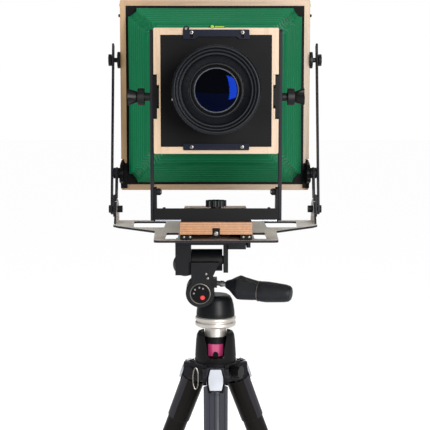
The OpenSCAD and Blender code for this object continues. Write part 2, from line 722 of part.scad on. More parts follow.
// Long side braces; the slot near the top lets the rear frame's stud slide as it tilts
module rear_braces() color("#1f2025") on_column() both_sides()
  translate([0, ear_pivot.x, ear_pivot.y]) rotate([-brace_lean, 0, 0]) difference() {
    reach = (stud_z - ear_pivot.y) / cos(brace_lean);
    side_plate(rounded(rectangle(-8, 8, -8, reach + 25), 4), brace_x, brace_x + brace_t);
    x_cylinder(3 + gap, 100, 200);
    side_plate(rounded(rectangle(-4.6, 4.6, reach - 16, reach + 14), 4.4), 100, 200);
  }

module rear_knob(side) on_column() {
  offset = ear_pivot.x + (stud_z - ear_pivot.y) * tan(brace_lean);
  brace_out = brace_x + brace_t - rear_side;
  translate([side * (rear_side + 0.2), offset, stud_z]) rotate([0, side * 90, 0]) {
    cylinder(r = 12.5, h = 4);
    cylinder(r = 3.6, h = brace_out + 3);
    translate([0, 0, brace_out + 0.4]) fluted_knob(9, 4.5, 8, 6, 0.5);
  }
}

module rear_knob_left() color("#17181a") rear_knob(-1);

module rear_knob_right() color("#17181a") rear_knob(1);

module spring_back() color("#d9b98f") on_column() difference() {
  lens_plate(138, 118, [back_y + 0.2, back_y + 16], 3);
  lens_plate(126, 101, [back_y + 4, back_y + 40]);
  lens_plate(120, 96, [back_y - 10, back_y + 40]);
}

module ground_glass() color("#d8e4e2", 0.5) on_column()
  lens_plate(125.8, 100.8, [back_y + 4, back_y + 6.5]);

// ------------------------------------------------------------------ assembly
spider();
crown();
column_lock_knob();
column_tube();
column_head();
head_base();
pan_body();
pan_lock_knob();
side_tilt_handle();
tilt_neck();
head_platform();
quick_release_plate();
quick_release_lever();
fore_tilt_handle();
for (k = [1 : 3]) {
  leg_upper(k);
  leg_middle(k);
  leg_lower(k);
  leg_upper_lever(k);
  leg_middle_lever(k);
  leg_angle_lock(k);
}
base_plate();
bed_guides();
rear_supports();
focus_bed();
focus_screw();
front_bracket();
swing_knob();
front_uprights();
tilt_plates();
front_knob_left();
front_knob_right();
front_frame();
lens_board();
top_clip();
bottom_clip();
shutter();
shutter_lever();
lens_barrel();
front_element();
bellows();
rear_frame();
rear_hinge_plates();
rear_braces();
rear_knob_left();
rear_knob_right();
spring_back();
ground_glass();
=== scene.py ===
"""Looks of a large-format film camera on a tripod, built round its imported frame."""

import json
import math

import bmesh
import bpy
from mathutils import Matrix, Vector, noise


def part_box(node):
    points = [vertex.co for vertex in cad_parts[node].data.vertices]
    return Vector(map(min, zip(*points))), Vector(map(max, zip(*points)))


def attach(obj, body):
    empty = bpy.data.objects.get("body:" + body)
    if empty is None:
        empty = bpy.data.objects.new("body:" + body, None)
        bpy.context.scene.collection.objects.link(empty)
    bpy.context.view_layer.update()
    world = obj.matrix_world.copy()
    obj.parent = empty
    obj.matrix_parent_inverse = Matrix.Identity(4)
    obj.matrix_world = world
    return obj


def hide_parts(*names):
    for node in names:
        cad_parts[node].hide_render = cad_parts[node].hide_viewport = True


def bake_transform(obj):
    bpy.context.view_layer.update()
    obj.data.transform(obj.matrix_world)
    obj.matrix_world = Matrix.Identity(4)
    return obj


MM = 0.001

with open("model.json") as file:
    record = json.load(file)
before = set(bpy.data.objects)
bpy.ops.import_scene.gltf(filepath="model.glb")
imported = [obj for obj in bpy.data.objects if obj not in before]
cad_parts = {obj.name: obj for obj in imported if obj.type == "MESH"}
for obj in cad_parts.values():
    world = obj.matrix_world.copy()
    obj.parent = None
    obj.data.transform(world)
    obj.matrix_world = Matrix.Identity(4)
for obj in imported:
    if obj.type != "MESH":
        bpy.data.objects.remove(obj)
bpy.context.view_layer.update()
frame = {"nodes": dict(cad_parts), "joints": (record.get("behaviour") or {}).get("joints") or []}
nodes = frame["nodes"]
joints = {j["name"]: j for j in frame["joints"]}


def place(name):
    """A joint's position in the frame."""
    return Vector(joints[name]["pos_m"])


# ------------------------------------------------------------------ places, all read from the frame
COLUMN = place("pan")
SIDE_AXIS = place("side_tilt")
FOLD = place("front_fold")
LENS = place("shutter_turn")
FRONT_LOW, FRONT_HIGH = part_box("front_frame")
REAR_LOW, REAR_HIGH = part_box("rear_frame")
BACK_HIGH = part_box("spring_back")[1]
PLATE_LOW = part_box("base_plate")[0]
BED_LOW, BED_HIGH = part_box("focus_bed")
BRACKET_LOW, BRACKET_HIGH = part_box("front_bracket")
BARREL_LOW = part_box("lens_barrel")[0]
GLASS_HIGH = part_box("front_element")[1]
BELLOWS_LOW, BELLOWS_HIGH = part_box("bellows")
CROWN_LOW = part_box("crown")[0]
LENS_AXIS = Vector((0, 0, LENS.z))


# ------------------------------------------------------------------ materials
def srgb(red, green, blue):
    """A colour given as 0 to 255 per channel, in linear light."""
    def linear(c):
        c /= 255
        return c / 12.92 if c <= 0.04045 else ((c + 0.055) / 1.055) ** 2.4
    return (linear(red), linear(green), linear(blue), 1.0)


def toned(color, factor, lift=0.0, most=math.inf):
    """A colour made darker or lighter."""
    return [min(most, c * factor + lift) for c in color[:3]] + [1]


class Look:
    """One node material. Textures are in the object's own metres, so they ride with the piece."""

    def __init__(self, name, color, roughness, metallic=0.0, **sockets):
        self.material = bpy.data.materials.new(name)
        self.material.use_nodes = True
        self.tree = self.material.node_tree
        self.shader = self.tree.nodes["Principled BSDF"]
        self.set(Base_Color=color, Roughness=roughness, Metallic=metallic, **sockets)
        self.position = self.add("ShaderNodeTexCoord").outputs["Object"]

    def add(self, kind, settings=None, **inputs):
        node = self.tree.nodes.new(kind)
        for key, value in (settings or {}).items():
            setattr(node, key, value)
        for key, value in inputs.items():
            self.feed(node.inputs[key.replace("_", " ")], value)
        return node

    def feed(self, socket, value):
        if isinstance(value, bpy.types.NodeSocket):
            self.tree.links.new(value, socket)
        else:
            socket.default_value = value

    def set(self, **sockets):
        for key, value in sockets.items():
            self.feed(self.shader.inputs[key.replace("_", " ")], value)
        return self

    def math(self, operation, a, b=0.0, clamp=False):
        node = self.add("ShaderNodeMath", {"operation": operation, "use_clamp": clamp})
        self.feed(node.inputs[0], a)
        self.feed(node.inputs[1], b)
        return node.outputs[0]

    def stretched(self, scale, rotation=(0, 0, 0)):
        """The position with each axis scaled, for grain that runs one way."""
        return self.add("ShaderNodeMapping", Vector=self.position, Scale=scale, Rotation=rotation).outputs[0]

    def noise(self, scale, detail=2.0, vector=None, roughness=0.5, distortion=0.0):
        return self.add(
            "ShaderNodeTexNoise", Vector=vector or self.position, Scale=scale, Detail=detail,
            Roughness=roughness, Distortion=distortion,
        ).outputs["Fac"]

    def ramp(self, factor, *stops):
        """Colours or greys at places from 0 to 1."""
        node = self.add("ShaderNodeValToRGB", Fac=factor)
        elements = node.color_ramp.elements
        while len(elements) < len(stops):
            elements.new(0.5)
        for element, (at, value) in zip(elements, stops):
            element.position = at
            element.color = value if hasattr(value, "__len__") else (value, value, value, 1.0)
        return node.outputs["Color"]

    def mix(self, factor, a, b, blend="MIX"):
        node = self.add("ShaderNodeMix", {"data_type": "RGBA", "blend_type": blend})
        self.feed(node.inputs[0], factor)
        self.feed(node.inputs[6], a)
        self.feed(node.inputs[7], b)
        return node.outputs[2]

    def axis(self, letter):
        return self.add("ShaderNodeSeparateXYZ", Vector=self.position).outputs[letter]

    def facing(self, letter):
        """How far the surface faces along one of the object's own axes."""
        own = self.add("ShaderNodeTexCoord").outputs["Normal"]
        return self.add("ShaderNodeSeparateXYZ", Vector=own).outputs[letter]

    def bump(self, height, distance, strength=1.0, under=None):
        node = self.add("ShaderNodeBump", Height=height, Distance=distance, Strength=strength)
        if under is not None:
            self.feed(node.inputs["Normal"], under)
        return node.outputs["Normal"]

    def edges(self, radius=0.5 * MM, low=0.02, high=0.2):
        """1 on sharp outer and inner edges and 0 on flat stretches."""
        soft = self.add("ShaderNodeBevel", {"samples": 4}, Radius=radius).outputs[0]
        true = self.add("ShaderNodeNewGeometry").outputs["Normal"]
        dot = self.add("ShaderNodeVectorMath", {"operation": "DOT_PRODUCT"})
        self.feed(dot.inputs[0], soft)
        self.feed(dot.inputs[1], true)
        spread = self.math("SUBTRACT", 1.0, dot.outputs["Value"], clamp=True)
        return self.ramp(spread, (low, 0.0), (high, 1.0))


def painted(name, color, wear_and_highlight_color, roughness=0.45, grain=1800, depth=0.03, **sockets):
    """Painted or powder-coated metal: fine orange peel, cloudy gloss and rubbed edges, which on the lens also
    stand for a painted highlight on its rim.
    """
    look = Look(name, color, roughness, **{"Specular_IOR_Level": 0.07, **sockets})
    clouds = look.noise(18, 3)
    # Rubbed edges lightened towards the second colour; on the lens and its ring this is a painted highlight
    wear_and_highlight_mask = look.math("MULTIPLY", look.edges(), look.noise(90, 3), clamp=True)
    shade = look.mix(look.ramp(clouds, (0.3, 0.0), (0.75, 0.35)), color, toned(color, 1.6))
    look.set(Base_Color=look.mix(look.math("MULTIPLY", wear_and_highlight_mask, 0.7), shade, wear_and_highlight_color))
    fine = look.noise(grain, 2)
    spread = look.math("MULTIPLY", look.math("SUBTRACT", clouds, 0.5), 0.25)
    look.set(Roughness=look.math("ADD", spread, roughness, clamp=True))
    look.set(Normal=look.bump(fine, depth * MM))
    return look


def turned(name, color, axis="Z", roughness=0.3, pitch=1400, metal=1.0):
    """Bare metal turned on a lathe: fine rings along the axis, and faint smears."""
    look = Look(name, color, roughness, metal)
    scale = {"X": (pitch, 3, 3), "Y": (3, pitch, 3), "Z": (3, 3, pitch)}[axis]
    rings = look.noise(1.0, 2, look.stretched(scale))
    smears = look.noise(45, 4)
    smeared = look.ramp(smears, (0.35, 0.0), (0.7, 0.3))
    look.set(Base_Color=look.mix(smeared, color, toned(color, 0.62)))
    look.set(Roughness=look.math("ADD", look.math("MULTIPLY", smears, 0.2), roughness - 0.08))
    look.set(Normal=look.bump(rings, 0.02 * MM, 0.6))
    return look


def rubbery(name, color, roughness=0.62, grain=900, depth=0.06):
    """Moulded rubber or soft plastic: a fine even grain and a dusty bloom."""
    look = Look(name, color, roughness, Specular_IOR_Level=0.2)
    dust = look.noise(30, 4)
    bloom = look.ramp(dust, (0.4, 0.0), (0.8, 0.5))
    look.set(Base_Color=look.mix(bloom, color, toned(color, 2.1, 0.004)))
    cells = look.add("ShaderNodeTexVoronoi", Vector=look.position, Scale=grain).outputs["Distance"]
    look.set(Normal=look.bump(cells, depth * MM))
    look.set(Roughness=look.math("ADD", look.math("MULTIPLY", dust, 0.2), roughness - 0.1))
    return look


# Thickness of one light and one dark ply
PLY_PAIR = 3.2 * MM


def wooden(name, light, dark, half_inner):
    """Lacquered plywood of a frame: grain along each rail, pores, and plies at its edges."""
    look = Look(name, light, 0.42, Coat_Weight=0.18, Coat_Roughness=0.3)
    along_x = look.noise(1.0, 6, look.stretched((7, 160, 160)), 0.62, 0.8)
    along_z = look.noise(1.0, 6, look.stretched((160, 160, 7)), 0.62, 0.8)
    upright = look.math("GREATER_THAN", look.math("ABSOLUTE", look.axis("X")), half_inner)
    grain = look.mix(upright, along_x, along_z)
    pores_x = look.noise(1.0, 3, look.stretched((90, 2600, 2600)))
    pores_z = look.noise(1.0, 3, look.stretched((2600, 2600, 90)))
    pores = look.mix(upright, pores_x, pores_z)
    color = look.ramp(grain, (0.28, dark), (0.5, light), (0.8, toned(light, 1.1, most=1.0)))
    color = look.mix(look.ramp(pores, (0.25, 0.45), (0.42, 0.0)), color, toned(dark, 0.6))
    plies = look.math("SINE", look.math("MULTIPLY", look.axis("Y"), 2 * math.pi / PLY_PAIR))
    sideways = look.math("LESS_THAN", look.math("ABSOLUTE", look.facing("Y")), 0.5)
    ply = look.math("MULTIPLY", look.ramp(plies, (0.45, 0.0), (0.7, 0.55)), sideways)
    color = look.mix(ply, color, toned(dark, 0.62))
    rim = look.math("MULTIPLY", look.edges(0.6 * MM), 0.3)
    look.set(Base_Color=look.mix(rim, color, toned(light, 1.25, most=1.0)))
    look.set(Normal=look.bump(pores, 0.03 * MM, 0.5))
    return look


def laminated(name, light, dark, z0, layer):
    """Wood glued up from flat layers of two tones, with long grain along the bed."""
    look = Look(name, light, 0.4, Coat_Weight=0.25, Coat_Roughness=0.25)
    height = look.math("DIVIDE", look.math("SUBTRACT", look.axis("Z"), z0), layer)
    wander = look.math("MULTIPLY", look.noise(1.0, 3, look.stretched((6, 6, 60))), 0.35)
    strip = look.math("FRACT", look.math("MULTIPLY", look.math("ADD", height, wander), 0.5))
    tone = look.ramp(strip, (0.0, 0.0), (0.66, 0.0), (0.72, 1.0), (0.97, 1.0))
    streaks = look.noise(1.0, 5, look.stretched((220, 12, 220)), 0.6, 0.5)
    color = look.mix(tone, light, dark)
    color = look.mix(look.ramp(streaks, (0.35, 0.35), (0.65, 0.0)), color, toned(dark, 0.5))
    look.set(Base_Color=color)
    glue = look.math("FRACT", look.math("ADD", height, wander))
    look.set(Normal=look.bump(look.ramp(glue, (0.0, 0.0), (0.06, 1.0)), 0.04 * MM, 0.5))
    return look


def cloth(name, color, ridge):
    """Coated bellows cloth: a fine weave, a low sheen and a painted highlight along the fold ridges, in
    patches like wear.
    """
    look = Look(name, color, 0.5, Specular_IOR_Level=0.12)
    threads = [look.noise(1.0, 1, look.stretched(scale)) for scale in ((2600, 40, 40), (40, 2600, 2600))]
    weave = look.math("MULTIPLY", threads[0], threads[1])
    clouds = look.noise(14, 4)
    tone = look.mix(look.ramp(clouds, (0.3, 0.0), (0.75, 0.4)), color, toned(color, 0.72))
    tone = look.mix(look.math("MULTIPLY", weave, 0.35), tone, toned(color, 1.35, 0.006, 1.0))
    patches = look.ramp(look.noise(60, 3), (0.25, 0.35), (0.7, 1.0))
    # Painted highlight: the sharp fold ridges are lightened towards the ridge colour, in patches
    wear_and_highlight_mask = look.math("MULTIPLY", look.edges(1.1 * MM, 0.03, 0.3), patches)
    look.set(Base_Color=look.mix(wear_and_highlight_mask, tone, ridge))
    look.set(Normal=look.bump(weave, 0.05 * MM, 0.6))
    look.set(Roughness=look.math("ADD", look.math("MULTIPLY", clouds, 0.16), 0.42))
    return look


def glassy(name, color, tint, roughness=0.02, **sockets):
    """Coated optical glass over a dark barrel."""
    look = Look(name, color, roughness, Specular_Tint=tint, **sockets)
    depth = look.noise(40, 2)
    look.set(Base_Color=look.mix(look.math("MULTIPLY", depth, 0.5), color, toned(color, 2)))
    return look


WORN = srgb(120, 118, 116)
LOOKS = {
    "spider": painted("spider_paint", srgb(30, 30, 34), srgb(105, 104, 104), 0.4),
    "crown": painted("crown_paint", srgb(24, 23, 25), srgb(100, 98, 96), 0.48),
    "tube": painted("tube_paint", srgb(25, 21, 21), WORN, 0.33, grain=2600, depth=0.012),
    "head": painted("head_paint", srgb(15, 17, 20), srgb(92, 92, 94), 0.42, grain=1300, depth=0.04,
                    Specular_IOR_Level=0.12),
    "strut": painted("strut_paint", srgb(36, 35, 42), srgb(120, 116, 116), 0.42),
    "bracket": painted("bracket_paint", srgb(16, 16, 18), srgb(110, 106, 102), 0.45),
    "plate": painted("plate_paint", srgb(206, 198, 192), srgb(232, 226, 220), 0.5, grain=900, depth=0.05),
    "board": painted("board_paint", srgb(13, 13, 15), srgb(60, 60, 60), 0.6, grain=2200),
    "clip": painted("clip_paint", srgb(15, 22, 40), srgb(90, 98, 118), 0.4),
    # The lens's second colour, on its edges, is also a painted highlight along the barrel's rim
    "lens": painted("lens_paint", srgb(19, 21, 26), srgb(84, 88, 98), 0.36, grain=3000, depth=0.008,
                    Specular_IOR_Level=0.13),
    "inner": painted("inner_paint", srgb(7, 7, 9), srgb(40, 40, 42), 0.62, grain=2500),
    "plastic": rubbery("knob_plastic", srgb(13, 13, 15), 0.48, 1500, 0.03),
    "rubber": rubbery("foot_rubber", srgb(26, 26, 28), 0.75),
    "grip": rubbery("grip_rubber", srgb(20, 22, 27), 0.5, 1200, 0.04),
    "silver": turned("turned_silver", srgb(196, 191, 184), roughness=0.42, metal=0.6),
    "steel_y": turned("turned_steel", srgb(176, 176, 178), "Y"),
    "key": turned("key_silver", srgb(178, 181, 188), "Z", 0.3, 500, 0.9),
    "screw": turned("screw_steel", srgb(120, 117, 112), "Y", 0.4),
    "birch": wooden("birch_frame", srgb(216, 184, 148), srgb(198, 162, 124), 59.5 * MM),
    "frame": wooden("plywood_frame", srgb(198, 158, 114), srgb(160, 118, 76), 131.5 * MM),
    "bed": laminated("bed_laminate", srgb(206, 142, 82), srgb(150, 92, 44), BED_LOW.z, 1.12 * MM),
    # Bellows green, and the lighter green of the painted highlight on its fold ridges
    "cloth": cloth("bellows_cloth", srgb(0, 110, 68), srgb(70, 162, 124)),
    "glass": glassy("front_glass", srgb(6, 7, 11), srgb(30, 84, 255), 0.015, Specular_IOR_Level=0.16),
    "vial": glassy("vial_liquid", srgb(150, 190, 58), srgb(255, 255, 255), 0.08, Coat_Weight=0.6),
    "window": glassy("window_pink", srgb(196, 66, 118), srgb(255, 255, 255), 0.12, Coat_Weight=0.5),
    "screen": Look("ground_screen", srgb(206, 214, 212), 0.55, Transmission_Weight=0.35),
    # The metal ring round the glass in grey paint with lighter edges: a painted reflection of its bare metal
    "ring": painted("ring_painted_reflection", srgb(92, 96, 104), srgb(150, 154, 160), 0.35, Specular_IOR_Level=0.5),
    "mark": painted("mark_paint", srgb(138, 138, 138), srgb(120, 120, 120), 0.6),
    "steel": turned("spring_steel", srgb(186, 184, 180), "Z", 0.3),
    "index": glassy("index_dot", srgb(206, 40, 40), srgb(255, 255, 255), 0.3),
}


def screen_lines(look, pitch, line):
    """A pencil grid on the focusing screen, and the grain of its ground face."""
    marks = []
    for letter, middle in (("X", 0.0), ("Z", LENS.z)):
        at = look.math("DIVIDE", look.math("SUBTRACT", look.axis(letter), middle - 0.5 * line), pitch)
        near = look.math("FRACT", look.math("ADD", at, 100.0))
        marks.append(look.math("LESS_THAN", near, line / pitch))
    both = look.math("MAXIMUM", *marks)
    grain = look.noise(2500, 2)
    face = look.mix(look.noise(9, 3), srgb(196, 206, 204), srgb(224, 230, 228))
    look.set(Base_Color=look.mix(look.math("MULTIPLY", both, 0.7), face, srgb(70, 74, 78)))
    look.set(Normal=look.bump(grain, 0.02 * MM))


GRID_PITCH = 25.4 * MM
GRID_LINE = 0.5 * MM
screen_lines(LOOKS["screen"], GRID_PITCH, GRID_LINE)


def speckled_faces(look, edge, speck):
    """Hammered paint with fine specks on a sheet's broad faces, and its cut edges left dark."""
    old = look.shader.inputs["Base Color"].links[0].from_socket
    specks = look.ramp(look.noise(520, 3), (0.36, 0.45), (0.46, 0.0))
    cut = look.math("GREATER_THAN", look.math("ABSOLUTE", look.facing("Y")), 0.25)
    look.set(Base_Color=look.mix(cut, look.mix(specks, old, speck), edge))


def along_leg(look, number, casting_paint_and_light, shell_end, groove):
    """A leg's shoulder in lighter paint than its tube, except on its inner side, with grooves darkened as
    painted shade.
    """
    hinge = place(f"leg_{number}_fold")
    down = Vector(joints[f"leg_{number}_extend_a"]["axis"]).normalized()
    out = Vector(joints[f"leg_{number}_key_pull"]["axis"]).normalized()
    across = down.cross(out)

    def dot(vector, direction):
        node = look.add("ShaderNodeVectorMath", {"operation": "DOT_PRODUCT"})
        look.feed(node.inputs[0], vector)
        look.feed(node.inputs[1], tuple(direction))
        return node.outputs["Value"]

    def along(direction):
        return look.math("SUBTRACT", dot(look.position, direction), hinge.dot(direction))

    old = look.shader.inputs["Base Color"].links[0].from_socket
    normal = look.add("ShaderNodeTexCoord").outputs["Normal"]
    face = look.ramp(dot(normal, out), (-0.75, 0.0), (-0.55, 1.0))
    shell = look.math("MULTIPLY", look.math("LESS_THAN", along(down), shell_end), face)
    # Painted shade: lines across the shoulder, darkened towards a third of its colour, stand for the shade in
    # its grooves
    wave = look.math("SINE", look.math("MULTIPLY", along(across), 2 * math.pi / groove))
    line = look.ramp(wave, (0.72, 0.0), (0.95, 1.0))
    tone = look.mix(look.math("MULTIPLY", line, 0.6), casting_paint_and_light, toned(casting_paint_and_light, 0.3))
    look.set(Base_Color=look.mix(shell, old, tone))
    under = look.shader.inputs["Normal"].links[0].from_socket
    depth = look.math("MULTIPLY", look.math("MULTIPLY", line, shell), -1.0)
    look.set(Normal=look.bump(depth, 0.5 * MM, 0.8, under))


speckled_faces(LOOKS["plate"], srgb(42, 43, 48), srgb(84, 80, 78))
SHOULDER_END = 80.5 * MM
# Paint of each leg's shoulder, lighter on the front leg as painted light, and the spacing of its grooves; the
# widest spacing leaves it plain
SHOULDER_PAINT_AND_LIGHT = [(srgb(66, 68, 75), 7 * MM), (srgb(50, 49, 54), 300 * MM), (srgb(50, 49, 54), 300 * MM)]
for number, (shoulder_paint_and_light, groove_pitch) in enumerate(SHOULDER_PAINT_AND_LIGHT, 1):
    leg_look = painted(f"leg_{number}_paint", srgb(25, 21, 21), WORN, 0.33, grain=2600, depth=0.012)
    along_leg(leg_look, number, shoulder_paint_and_light, SHOULDER_END, groove_pitch)
    LOOKS[f"leg_{number}"] = leg_look


# ------------------------------------------------------------------ mesh tools
def smooth_by_angle(mesh, degrees=32):
    mesh.polygons.foreach_set("use_smooth", [True] * len(mesh.polygons))
    mesh.set_sharp_from_angle(angle=math.radians(degrees))


def soften(obj, width, segments=2, degrees=38):
    """Rounds the sharp edges of a piece and keeps its flat faces flat."""
    bevel = obj.modifiers.new("edges", "BEVEL")
    bevel.width = width
    bevel.segments = segments
    bevel.limit_method = "ANGLE"
    bevel.angle_limit = math.radians(degrees)
    weighted = obj.modifiers.new("flats", "WEIGHTED_NORMAL")
    weighted.keep_sharp = True


def finish_node(name, look, edge=0.4 * MM):
    """Gives a CAD node its material and rounded edges; its own mesh stays as it is."""
    node = nodes[name]
    node.data.materials.clear()
    node.data.materials.append(LOOKS[look].material)
    node.data.polygons.foreach_set("material_index", [0] * len(node.data.polygons))
    if "custom_normal" in node.data.attributes:
        node.data.attributes.remove(node.data.attributes["custom_normal"])
    smooth_by_angle(node.data, 30)
    weld = node.modifiers.new("weld", "WELD")
    weld.merge_threshold = 0.01 * MM
    flat = node.modifiers.new("flatten", "DECIMATE")
    flat.decimate_type = "DISSOLVE"
    flat.angle_limit = math.radians(0.6)
    soften(node, edge)


def piece(name, parts, body, look, edge=0.0, degrees=32, replaces=()):
    """A new piece from one or more (points, faces) parts, riding on a body."""
    mesh = bpy.data.meshes.new(name)
    build = bmesh.new()
    for points, faces in parts:
        corners = [build.verts.new(p) for p in points]
        for face in faces:
            ring = [corners[i] for i in dict.fromkeys(face)]
            if len(ring) > 2:
                build.faces.new(ring)
    bmesh.ops.remove_doubles(build, verts=build.verts, dist=0.002 * MM)
    bmesh.ops.recalc_face_normals(build, faces=build.faces)
    build.to_mesh(mesh)
    build.free()
    mesh.materials.append(LOOKS[look].material)
    obj = bpy.data.objects.new(name, mesh)
    bpy.context.scene.collection.objects.link(obj)
    smooth_by_angle(mesh, degrees)
    if edge:
        soften(obj, edge)
    if body:
        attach(obj, body)
    if replaces:
        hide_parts(*replaces)
    return obj


def basis(direction):
    """Two directions across an axis."""
    d = Vector(direction).normalized()
    side = d.cross(Vector((0, 0, 1)))
    if side.length < 0.1:
        side = Vector((1, 0, 0))
    side.normalize()
    return d, side, side.cross(d)


def bands(rows, count, closed=False):
    """Faces between rings of points that follow one another."""
    return [(i * count + k, i * count + (k + 1) % count, j * count + (k + 1) % count, j * count + k)
            for i in range(rows if closed else rows - 1) for j in [(i + 1) % rows] for k in range(count)]


def around(part, degrees):
    """A part drawn above the origin, turned about the lens axis."""
    turn = Matrix.Rotation(math.radians(degrees), 3, "Y")
    return [turn @ p + LENS_AXIS for p in part[0]], part[1]


def lathe(profile, centre, direction, steps=64, closed=True):
    """A turned part: profile holds (radius, distance along the axis)."""
    d, u, v = basis(direction)
    points = []
    for i in range(steps):
        a = 2 * math.pi * i / steps
        out = u * math.cos(a) + v * math.sin(a)
        points += [Vector(centre) + d * along + out * radius for radius, along in profile]
    n = len(profile)
    faces = []
    for i in range(steps):
        j = (i + 1) % steps
        for k in range(n if closed else n - 1):
            m = (k + 1) % n
            faces.append((i * n + k, j * n + k, j * n + m, i * n + m))
    return points, faces


def slab(low, high):
    """A box between two corners."""
    low, high = Vector(low), Vector(high)
    points = [Vector((x, y, z)) for x in (low.x, high.x) for y in (low.y, high.y) for z in (low.z, high.z)]
    return points, [(0, 1, 3, 2), (4, 6, 7, 5), (0, 4, 5, 1), (2, 3, 7, 6), (0, 2, 6, 4), (1, 5, 7, 3)]


def prism(outline, at, letter, depth):
    """An outline of (a, b) points drawn across one axis and pulled along it from at by depth."""
    def lift(a, b, c):
        return {"X": Vector((c, a, b)), "Y": Vector((a, c, b)), "Z": Vector((a, b, c))}[letter]
    n = len(outline)
    points = [lift(a, b, at) for a, b in outline] + [lift(a, b, at + depth) for a, b in outline]
    faces = [tuple(range(n)), tuple(range(2 * n - 1, n - 1, -1))]
    faces += [(i, (i + 1) % n, n + (i + 1) % n, n + i) for i in range(n)]
    return points, faces


def screw_head(centre, direction, radius, height):
    """A domed screw head with a cross recess, standing along a direction."""
    d, u, v = basis(direction)
    centre = Vector(centre)
    slot_half, arm, floor = radius * 0.13, radius * 0.55, height * 0.45
    dome = [(radius, 0.0), (radius, height * 0.45), (radius * 0.86, height * 0.8), (radius * 0.62, height)]
    head = lathe([(0.0, 0.0)] + dome + [(0.0, height)], centre, direction, 32, False)
    arms = []
    for a, b in ((u, v), (v, u)):
        corner = [centre + d * (height * 1.001) + a * (s * arm) + b * (t * slot_half)
                  for s, t in ((-1, -1), (1, -1), (1, 1), (-1, 1))]
        low = [p - d * (height - floor) for p in corner]
        walls = [(0, 4, 5, 1), (1, 5, 6, 2), (2, 6, 7, 3), (3, 7, 4, 0)]
        arms.append((corner + low, [(0, 1, 2, 3), (4, 7, 6, 5)] + walls))
    return head, arms


def screws(name, places, direction, radius, height, body):
    """A group of equal cross-head screws as one piece, with the recesses cut out of the heads."""
    heads, cuts = [], []
    for centre in places:
        head, arms = screw_head(centre, direction, radius, height)
        heads.append(head)
        cuts += arms
    obj = piece(name, heads, None, "screw")
    cutter = piece(name + "_cutter", cuts, None, "inner")
    carve = obj.modifiers.new("recess", "BOOLEAN")
    carve.operation = "DIFFERENCE"
    carve.object = cutter
    carve.solver = "EXACT"
    carve.use_self = True
    bpy.context.view_layer.update()
    cut = bpy.data.meshes.new_from_object(obj.evaluated_get(bpy.context.evaluated_depsgraph_get()))
    obj.modifiers.clear()
    obj.data = cut
    bpy.data.objects.remove(cutter)
    smooth_by_angle(cut, 40)
    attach(obj, body)
    return obj


# ------------------------------------------------------------------ the CAD nodes and their finishes
NODE_LOOKS = {
    "spider": ("spider", 0.7), "column_lock_knob": ("plastic", 0.6), "column_tube": ("tube", 0.4),
    "column_head": ("silver", 0.5), "head_base": ("head", 0.4), "pan_body": ("head", 0.9),
    "pan_lock_knob": ("plastic", 0.5), "tilt_neck": ("head", 1.0), "head_platform": ("head", 0.9),
    "quick_release_plate": ("head", 0.8), "quick_release_lever": ("strut", 0.6), "base_plate": ("plate", 0.5),
    "bed_guides": ("bracket", 0.4), "rear_supports": ("strut", 0.4), "focus_bed": ("bed", 0.5),
    "focus_screw": ("steel_y", 0.4), "front_bracket": ("bracket", 0.4), "swing_knob": ("plastic", 0.6),
    "front_uprights": ("strut", 0.4), "tilt_plates": ("bracket", 0.4), "front_knob_left": ("plastic", 0.6),
    "front_knob_right": ("plastic", 0.6), "front_frame": ("birch", 0.7), "lens_board": ("board", 0.4),
    "top_clip": ("clip", 0.35), "bottom_clip": ("clip", 0.35), "shutter": ("lens", 0.4),
    "shutter_lever": ("steel_y", 0.3), "lens_barrel": ("lens", 0.3), "front_element": ("glass", 0.1),
    "rear_frame": ("frame", 0.8), "rear_hinge_plates": ("bracket", 0.4), "rear_braces": ("strut", 0.4),
    "rear_knob_left": ("plastic", 0.5), "rear_knob_right": ("plastic", 0.5), "spring_back": ("frame", 0.8),
    "ground_glass": ("screen", 0.2), "crown": ("crown", 1.2), "side_tilt_handle": ("grip", 0.5),
    "fore_tilt_handle": ("grip", 0.5),
}
for leg in (1, 2, 3):
    NODE_LOOKS[f"leg_{leg}_upper"] = (f"leg_{leg}", 0.6)
    NODE_LOOKS[f"leg_{leg}_middle"] = ("tube", 0.5)
    NODE_LOOKS[f"leg_{leg}_lower"] = ("rubber", 0.6)
    NODE_LOOKS[f"leg_{leg}_upper_lever"] = ("plastic", 0.6)
    NODE_LOOKS[f"leg_{leg}_middle_lever"] = ("plastic", 0.6)
    NODE_LOOKS[f"leg_{leg}_angle_lock"] = ("key", 0.7)
for node_name, (node_look, node_edge) in NODE_LOOKS.items():
    finish_node(node_name, node_look, node_edge * MM)


# ------------------------------------------------------------------ bellows
FOLDS = 30
PLEAT_DEPTH = 9.5 * MM
CORNER_CUT = 13 * MM
FRONT_HALF = 70 * MM
BACK_HALF = 132.6 * MM
SIDE_STEPS = 10
LIP = 0.45 * MM
# Bodies at the two ends of each stretch of cloth, from the lens to the film, and its number of folds
STRETCHES = [
    ("lens_standard", "riser", 4), ("riser", "uprights", 3), ("uprights", "bracket", 6),
    ("bracket", "bed", 3), ("bed", "platform", 6), ("platform", "film_standard", 8),
]
CORNERS = [(1, 1), (-1, 1), (-1, -1), (1, -1)]


